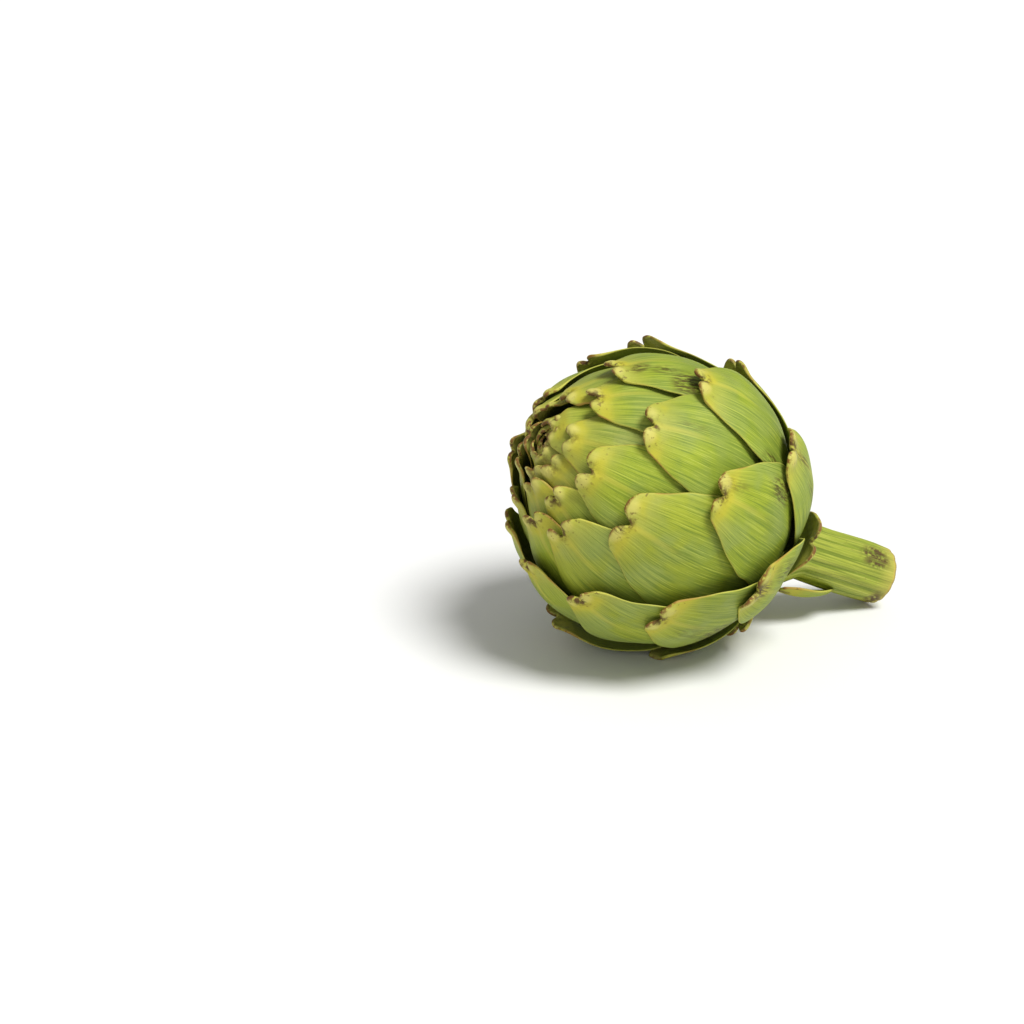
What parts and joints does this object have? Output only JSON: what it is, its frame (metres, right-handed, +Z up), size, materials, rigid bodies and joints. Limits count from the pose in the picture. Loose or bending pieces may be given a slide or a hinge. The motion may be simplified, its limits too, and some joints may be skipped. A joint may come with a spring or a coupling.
{
  "type": "artichoke",
  "caption": "Whole globe artichoke lying on its side, with overlapping notched bracts spiralling round a closed bud and a short ribbed cut stem.",
  "frame": {"origin": "middle of the bounding box's footprint on the surface it lies on", "axes": "+Z up from the surface, +X towards the stem's cut end, +Y across to the side away from the front view"},
  "size_m": [0.1418, 0.1007, 0.1022],
  "materials": {
    "bract_green": "matte fresh bract skin with fine fibres",
    "bud_green": "matte young bract skin, paler and yellower at the tips",
    "stem_green": "satin ribbed green stem with a cut, drying end"
  },
  "bodies": {
    "root": {"inner_bud": "bud_green", "bract_09": "bract_green", "bract_10": "bract_green", "bract_11": "bract_green", "bract_12": "bract_green", "bract_13": "bract_green", "bract_14": "bract_green", "bract_15": "bract_green", "bract_16": "bract_green", "bract_17": "bract_green", "bract_18": "bract_green", "bract_19": "bract_green", "bract_20": "bract_green", "bract_21": "bract_green", "bract_22": "bract_green", "bract_23": "bract_green", "bract_24": "bract_green", "bract_25": "bract_green", "bract_26": "bract_green", "bract_27": "bract_green", "bract_28": "bract_green", "bract_29": "bract_green", "bract_30": "bract_green", "bract_31": "bract_green", "bract_32": "bract_green", "bract_33": "bract_green", "bract_34": "bract_green", "bract_35": "bract_green", "bract_36": "bract_green", "bract_37": "bract_green", "bract_38": "bract_green", "bract_39": "bract_green", "bract_40": "bract_green", "bract_41": "bract_green", "stem": "stem_green", "stem_leaf": "bract_green"}
  },
  "joints": []
}
